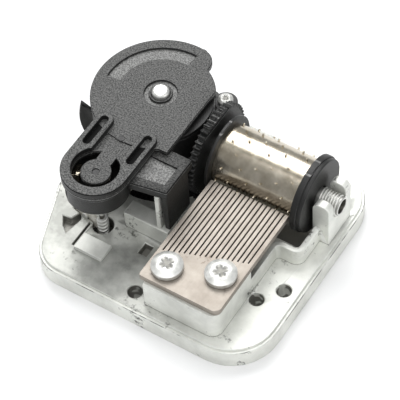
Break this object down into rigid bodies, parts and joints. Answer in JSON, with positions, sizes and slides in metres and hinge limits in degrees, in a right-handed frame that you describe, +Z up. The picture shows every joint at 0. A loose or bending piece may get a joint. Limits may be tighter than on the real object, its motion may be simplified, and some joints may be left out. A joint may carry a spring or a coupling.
{
  "type": "music box movement",
  "caption": "Wind-up music box movement with a pinned cylinder plucking a steel comb, a covered spring barrel and a worm-driven brake governor on a cast base.",
  "frame": {"origin": "middle of the base's underside, on the table", "axes": "+Z up, +X along the cylinder towards its threaded stub, +Y from the comb's screws to its tips"},
  "size_m": [0.05, 0.045, 0.021],
  "materials": {
    "cast_zinc": "bright as cast",
    "comb_steel": "ground",
    "bright_steel": "bright plated",
    "lead_grey": "dull",
    "black_plastic": "fine grain",
    "spring_steel": "blued",
    "nickel_brass": "nickel plated",
    "pale_plastic": "satin"
  },
  "bodies": {
    "base": {"base_plate": "cast_zinc", "tone_comb": "comb_steel", "comb_screws": "bright_steel", "comb_weights": "lead_grey", "spring_cover": "black_plastic", "cover_screw": "bright_steel", "governor_drum": "black_plastic", "clutch_spring": "spring_steel"},
    "winding": {"winding_arbor": "bright_steel"},
    "barrel": {"barrel_gear": "black_plastic", "barrel_drum": "black_plastic", "barrel_lid": "black_plastic", "mainspring": "spring_steel"},
    "cylinder": {"cylinder_arbor": "bright_steel", "cylinder_gear": "black_plastic", "cylinder_hub": "black_plastic", "cylinder_sleeve": "nickel_brass", "cylinder_pins": "nickel_brass", "end_flange": "black_plastic", "output_stub": "bright_steel"},
    "idler": {"idler_arbor": "bright_steel", "idler_pinion": "pale_plastic", "worm_wheel": "pale_plastic"},
    "governor": {"governor_shaft": "bright_steel", "worm": "bright_steel", "governor_rotor": "black_plastic", "brake_weights": "nickel_brass"}
  },
  "joints": [
    {"name": "winding_turn", "type": "hinge", "parent": "base", "child": "winding", "pos_m": [-0.01232, 0.00982, 0], "axis": [0, 0, 1], "range_deg": [0, 2160]},
    {"name": "barrel_spin", "type": "hinge", "parent": "base", "child": "barrel", "pos_m": [-0.01232, 0.00982, 0], "axis": [0, 0, 1], "continuous": true},
    {"name": "cylinder_spin", "type": "hinge", "parent": "base", "child": "cylinder", "pos_m": [0, 0.00982, 0.0115], "axis": [1, 0, 0], "continuous": true},
    {"name": "idler_spin", "type": "hinge", "parent": "base", "child": "idler", "pos_m": [-0.01232, 0.00982, 0.0047], "axis": [-0.1951, -0.9808, 0], "continuous": true},
    {"name": "governor_spin", "type": "hinge", "parent": "base", "child": "governor", "pos_m": [-0.01265, -0.01005, 0], "axis": [0, 0, 1], "continuous": true}
  ],
  "couplings": [
    {"joint": "cylinder_spin", "follows": "barrel_spin", "ratio": 1.28},
    {"joint": "idler_spin", "follows": "barrel_spin", "ratio": 6.4},
    {"joint": "governor_spin", "follows": "barrel_spin", "ratio": -115.2}
  ]
}
